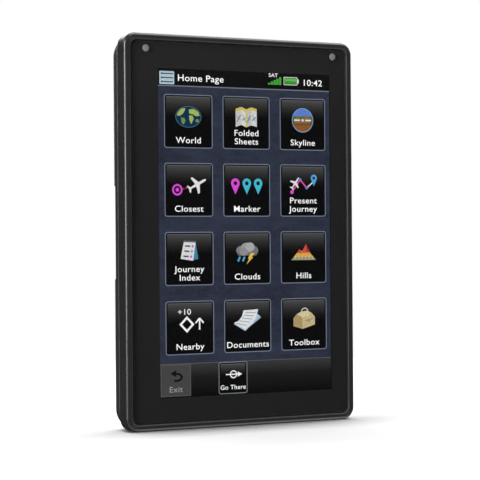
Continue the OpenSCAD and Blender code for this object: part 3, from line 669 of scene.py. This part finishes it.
def journey():
    """A route from a dot to a pin, and a plane that follows it."""
    start, turn, low, end = (-6.2, -3.7), (-1.6, 2.4), (2.0, -1.6), (6.0, 1.6)
    flown = srgb(236, 70, 170)
    icons.shape(bar(*start, *turn, 0.75), flown)
    icons.shape(bar(*turn, *low, 0.75), flown)
    icons.shape(bar(*low, *end, 0.6), srgb(232, 226, 236))
    icons.shape(ring(*start, 0.95, steps=16), MAGENTA, 1)
    icons.shape(ring(*turn, 0.75, steps=16), SKY, 1)
    icons.shape(ring(*low, 0.75, steps=16), SKY, 1)
    pin(6.0, 3.2, 1.7, srgb(84, 170, 226), 1)
    icons.shape(turned(PLANE, -4.4, 0.6, 53, 0.6), PALE, 2)


def notes():
    """A pad of paper with three ticked lines."""
    icons.shape([(1.2, -4.6), (4.6, -4.1), (3.2, 4.0), (1.0, 4.2)], srgb(70, 134, 170))
    icons.shape([(-4.6, -3.9), (1.9, -4.9), (3.3, 4.0), (-2.8, 4.4)], grey(228), 1)
    icons.shape(bar(-3.0, 4.3, 3.4, 4.0, 0.8), srgb(96, 98, 100), 2)
    for i, dot in enumerate((MAGENTA, CYAN, MAGENTA)):
        dx, z = -0.45 * i, 2.1 - 2.4 * i
        icons.shape(bar(-2.2 + dx, z, 0.4 + dx, z - 0.2, 0.75), srgb(90, 90, 96), 2)
        icons.shape(ring(1.7 + dx, z - 0.2, 0.62, steps=12), dot, 2)


def clouds():
    """A cloud of five puffs on a flat base, with rain and a flash."""
    puffs = ((-3.4, 0.2, 2.5, 132, 0), (3.3, 0.1, 2.6, 120, 0), (-0.4, 1.2, 3.1, 160, 1),
             (1.4, 1.8, 2.5, 176, 2), (-2.0, -0.4, 2.2, 148, 3))
    for x, z, r, shade, lift in puffs:
        icons.shape(ring(x, z, r, r * 0.86, 24), srgb(shade, shade, shade + 2), lift)
    icons.shape(rounded(0, -1.4, 10.4, 1.8, 0.85), srgb(110, 110, 114), 1)
    for x in (-4.4, -1.9):
        icons.shape(bar(x - 0.6, -5.0, x + 0.5, -2.8, 0.95), srgb(88, 168, 214), 2)
    icons.shape([(0.2, -3.8), (1.9, -1.0), (4.0, -1.0), (2.3, -3.0), (3.2, -3.0), (-0.6, -6.6), (1.0, -3.8)],
                srgb(240, 196, 84), 4)


def hills():
    icons.shape([(-6.9, -2.6), (6.9, -2.6), (4.6, -0.2), (-4.6, -0.2)], srgb(150, 150, 118))
    icons.shape([(-5.6, -1.2), (5.5, -1.2), (3.0, 1.6), (0.2, 2.2), (-3.2, 1.4)], srgb(226, 172, 78), 1)
    icons.shape([(-3.6, 0.9), (-0.8, 0.6), (-2.2, 2.8)], srgb(206, 78, 66), 2)
    icons.shape([(-1.2, 0.9), (3.9, 0.9), (1.3, 5.2)], srgb(212, 82, 70), 2)
    icons.shape([(1.3, 5.2), (3.9, 0.9), (1.8, 1.7)], srgb(158, 52, 50), 3)
    for i in range(6):
        icons.shape(bar(-5.0 + 2 * i, -2.4, -4.3 + 1.8 * i, -0.6, 0.4), srgb(206, 204, 176), 2)


def nearby():
    """An open diamond and a climbing arrow, with a number over them."""
    tile_number.words("+10", -2.9, 4.6, 2.6)
    icons.shape([turned(block(-half, half, -half, half), -1.6, 0, 45) for half in (2.75, 1.75)], WHITE)
    icons.shape(bar(5.0, -2.6, 5.0, 2.2, 0.75), WHITE)
    for s in (-1, 1):
        icons.shape(bar(5.0, 2.8, 5.0 + s * 2.1, 0.5, 0.75), WHITE, 1)


def pages():
    """Three curling sheets, with lines on the top one."""
    icons.shape([(-1.0, -4.6), (7.2, 1.0), (5.0, 3.0), (-4.0, -2.0)], srgb(150, 178, 206))
    icons.shape([(-7.4, -1.8), (-1.4, -5.2), (6.6, 1.8), (4.4, 2.8)], srgb(186, 206, 226), 1)
    icons.shape([(-7.5, -1.2), (-5.2, -0.4), (-3.2, 1.7), (-2.3, 4.6), (5.6, 5.0), (4.6, 1.7), (2.4, -1.7),
                 (-1.4, -4.3)], srgb(232, 236, 240), 2)
    for i in range(5):
        dx, z = -0.75 * i - 0.12 * i * i, 3.5 - 1.25 * i
        icons.shape(bar(dx - 1.2, z, dx + 4.3, z - 0.2 - 0.22 * i, 0.34), srgb(150, 156, 164), 3)


def kit():
    """A tool bag with a carrying handle."""
    top = srgb(222, 206, 158)
    icons.shape([(-5.9, -2.9), (-0.9, -4.4), (-0.9, 1.0), (-4.0, 2.9), (-5.9, 0.9)], srgb(176, 156, 108))
    icons.shape([(-0.9, -4.4), (6.0, -2.4), (6.0, 1.4), (4.0, 3.4), (-0.9, 1.0)], srgb(206, 188, 138))
    icons.shape([(-4.0, 2.9), (-0.9, 1.0), (4.0, 3.4), (1.6, 4.4), (-1.4, 4.0)], top, 1)
    icons.shape([ring(0.4, 4.0, 2.1, 1.9, 24), ring(0.4, 4.0, 1.5, 1.3, 24)], srgb(206, 206, 200), 2)
    icons.shape(block(-2.4, 3.0, 1.9, 3.4), top, 3)
    icons.shape(bar(0.4, -0.6, 5.2, 0.7, 0.4), srgb(160, 142, 98), 1)
    icons.shape(block(2.0, 3.3, -1.0, 0.3), srgb(150, 150, 146), 2)


# Each tile's symbol, and how far its middle stands above the tile's
SYMBOLS = (((globe, 2.1), (chart, 2.6), (scenery, 2.0)),
           ((closest, 1.6), (markers, 3.3), (journey, 2.9)),
           ((notes, 3.9), (clouds, 3.4), (hills, 1.2)),
           ((nearby, 1.6), (pages, 2.8), (kit, 2.0)))
for z, row in zip(ROWS, SYMBOLS):
    for x, (draw, rise) in zip(COLUMNS, row):
        icons.origin = tile_number.origin = (x, z + rise)
        draw()
tile_number.build(lit("tile_number_finish", letter_white))

# Header symbols: list, signal bars and battery
icons.origin = (LEFT + 4.5, HEAD_Z + 3.6)
icons.shape(rounded(0, 0, 7.6, 6.1, 0.4), srgb(186, 208, 220))
for z in (1.9, 0, -1.9):
    icons.shape(bar(-3.1, z, 3.2, z, 0.55), srgb(62, 84, 96), 1)
    icons.shape(ring(-2.5, z, 0.5, steps=10), srgb(44, 96, 110), 2)
icons.origin = (RIGHT - 33.7, HEAD_Z + 2.2)
for i in range(5):
    icons.shape(block(1.5 * i, 1.5 * i + 1.2, 0, 0.8 + 0.72 * i), srgb(74, 176, 62))
icons.origin = (RIGHT - 21.4, HEAD_Z + 4.2)
icons.shape([rounded(0, 0, 7.6, 3.9, 0.4), rounded(0, 0, 6.9, 3.2, 0.2)], srgb(226, 230, 226))
icons.shape(block(3.8, 4.5, -1.0, 1.0), srgb(226, 230, 226))
icons.shape(block(-3.2, 3.2, -1.3, 0), srgb(58, 158, 46), 1)
icons.shape(block(-3.2, 3.2, 0, 1.3), srgb(98, 194, 84), 1)

# Footer symbols: an arrow through a ring, and a hooked arrow
icons.origin = (GO_X, BOTTOM + 9.4)
icons.shape([ring(0.2, 0, r, steps=24) for r in (1.9, 1.35)], WHITE)
icons.shape(bar(-3.8, 0, 2.8, 0, 0.55), WHITE, 1)
icons.shape([(2.5, -1.2), (4.8, 0), (2.5, 1.2)], WHITE, 1)
icons.build(lit("menu_icons_finish", painted))

exit_key.origin = (LEFT + 8.4, BOTTOM + 9.2)
outside, inside = (ring(0, 0, rx, rz, 20, -120, 100) for rx, rz in ((3.2, 2.1), (2.1, 1.1)))
exit_key.shape(outside + inside[::-1], grey(14))
exit_key.shape([(-0.2, 0.2), (-0.2, 3.4), (-3.4, 1.8)], grey(14))
exit_key.build(lit("back_button_finish", painted))

# ------------------------------------------------------------------ floor, light and camera

def floor_piece():
    """A round pale floor, made of rings of faces that grow wider outwards."""
    radii, around = (0.06, 0.12, 0.2, 0.3, 0.45), 64
    angles = [2 * math.pi * i / around for i in range(around)]
    verts = [(0, 0, 0)] + [(r * math.cos(a), r * math.sin(a), 0) for r in radii for a in angles]
    steps = [(i, (i + 1) % around) for i in range(around)]
    faces = [(0, 1 + i, 1 + j) for i, j in steps]
    for k in range(1, len(radii)):
        outer = 1 + k * around
        inner = outer - around
        faces += [(inner + i, outer + i, outer + j, inner + j) for i, j in steps]
    mesh = bpy.data.meshes.new("studio_floor")
    mesh.from_pydata(verts, [], faces)
    m = Finish("studio_floor_finish")
    tint = m.mix(m.noise(60, 3), (0.9, 0.9, 0.9, 1), (0.93, 0.93, 0.93, 1))
    mesh.materials.append(m.set(Base_Color=tint, Roughness=m.spread(m.noise(9, 3), 0.75, 0.9),
                                Normal=m.bump(m.noise(0.8, 3), 0.01), Specular_IOR_Level=0.1))
    obj = bpy.data.objects.new("studio_floor", mesh)
    bpy.context.scene.collection.objects.link(obj)
    obj.visible_glossy = False           # the studio's glow stands for it in reflections
    obj.visible_transmission = False     # and in what is seen through the glass
    return obj


floor = floor_piece()


def softbox(name, place, target, w, h, radiance):
    """A rectangle of white light of that brightness, which faces the target."""
    light = bpy.data.lights.new(name, "AREA")
    light.shape = "RECTANGLE"
    light.size, light.size_y = w, h
    light.energy = radiance * math.pi * w * h
    obj = bpy.data.objects.new(name, light)
    obj.location = place
    obj.rotation_mode = "QUATERNION"
    obj.rotation_quaternion = (Vector(target) - Vector(place)).to_track_quat("-Z", "Y")
    obj.visible_camera = False
    bpy.context.scene.collection.objects.link(obj)
    return obj


overhead_glow = softbox("overhead_glow", (0.36, -0.06, 0.95), (0.3, -0.05, 0.1), 0.9, 0.95, 3.2)
overhead_key = softbox("overhead_key", (0.0, 0.054, 0.95), (0, 0.054, 0), 0.9, 0.13, 21)
floor_light = softbox("floor_light", (0, 0.5, 1.1), (0, 0.2, 0), 1.2, 0.3, 5.5)
left_side = softbox("left_side", (-1.05, -0.42, 0.36), (0, 0, 0.12), 0.4, 0.8, 9.5)
back_glow = softbox("back_glow", (0.55, 1.5, 0.75), (0, 0, 0.1), 1.5, 1.2, 3.6)
left_back = softbox("left_back", (-1.1, 0.9, 1.0), (0, 0, 0.1), 0.9, 0.7, 2.0)
right_side = softbox("right_side", (1.1, 0.5, 0.5), (0, 0, 0.1), 0.5, 0.7, 3.0)

# These two light the floor and show in no reflection
for light in (overhead_key, floor_light):
    light.visible_glossy = False

# The others neither light the floor nor glare in the cover glass
spared = bpy.data.collections.new("spared")
for obj in (floor, frame["nodes"]["cover_glass"]):
    spared.objects.link(obj)
for item in spared.collection_objects:
    item.light_linking.link_state = "EXCLUDE"
for light in (overhead_glow, left_side, back_glow, left_back, right_side):
    light.light_linking.receiver_collection = spared

# The room: white to the camera, pale to diffuse light, and dim in reflections, but for what is above the
# horizon in front of the object and for a glow low in front, which is stronger to the right
world = bpy.data.worlds.new("studio")
bpy.context.scene.world = world
world.use_nodes = True
world.cycles.sampling_method = "NONE"
room = Nodes(world.node_tree)
toward = room.split(room.add("ShaderNodeTexCoord").outputs["Generated"])
front = room.ranged(toward["Y"], 0.1, -0.8, 0, 1, True)
high = room.ranged(toward["Z"], 0.06, 0.14, 0.02, 0.14, True)
low = room.math("MULTIPLY", room.ranged(toward["Z"], -0.3, -0.65, 0, 1, True),
                room.ranged(toward["Y"], 0.15, -0.25, 0, 1, True))
low = room.math("MULTIPLY", low, room.ranged(toward["X"], 0.2, 0.42, 0.5, 1.7, True))
mirrored = room.math("ADD", room.math("ADD", 0.03, low), room.math("MULTIPLY", front, high))
path = room.add("ShaderNodeLightPath").outputs
direct = room.math("ADD", path["Is Camera Ray"], room.math("MULTIPLY", path["Is Diffuse Ray"], 0.36))
chosen = room.add("ShaderNodeMixShader")
room.link(room.math("MAXIMUM", path["Is Camera Ray"], path["Is Diffuse Ray"]), chosen.inputs[0])
for strength, socket in ((mirrored, chosen.inputs[1]), (direct, chosen.inputs[2])):
    background = room.add("ShaderNodeBackground")
    background.inputs["Color"].default_value = WHITE
    room.link(strength, background.inputs["Strength"])
    room.link(background.outputs[0], socket)
room.link(chosen.outputs[0], room.add("ShaderNodeOutputWorld").inputs["Surface"])

# The camera stands to the left of the object, nearly level with its middle
camera = bpy.data.cameras.new("camera")
camera.lens = 128.1
camera.sensor_width = 36
camera.clip_start, camera.clip_end = 0.01, 50
camera_obj = bpy.data.objects.new("camera", camera)
yaw, pitch, roll = (math.radians(a) for a in (27.3, 0.06, -0.44))
forward = Vector((math.sin(yaw) * math.cos(pitch), math.cos(yaw) * math.cos(pitch), -math.sin(pitch)))
right = Vector((math.cos(yaw), -math.sin(yaw), 0))
up = right.cross(forward)
side = math.cos(roll) * right + math.sin(roll) * up
over = -math.sin(roll) * right + math.cos(roll) * up
turn = Matrix((side, over, -forward)).transposed().to_4x4()
camera_obj.matrix_world = Matrix.Translation((-0.373, -0.731, 0.089)) @ turn
bpy.context.scene.collection.objects.link(camera_obj)
bpy.context.scene.camera = camera_obj
bpy.context.scene.view_settings.view_transform = "Standard"
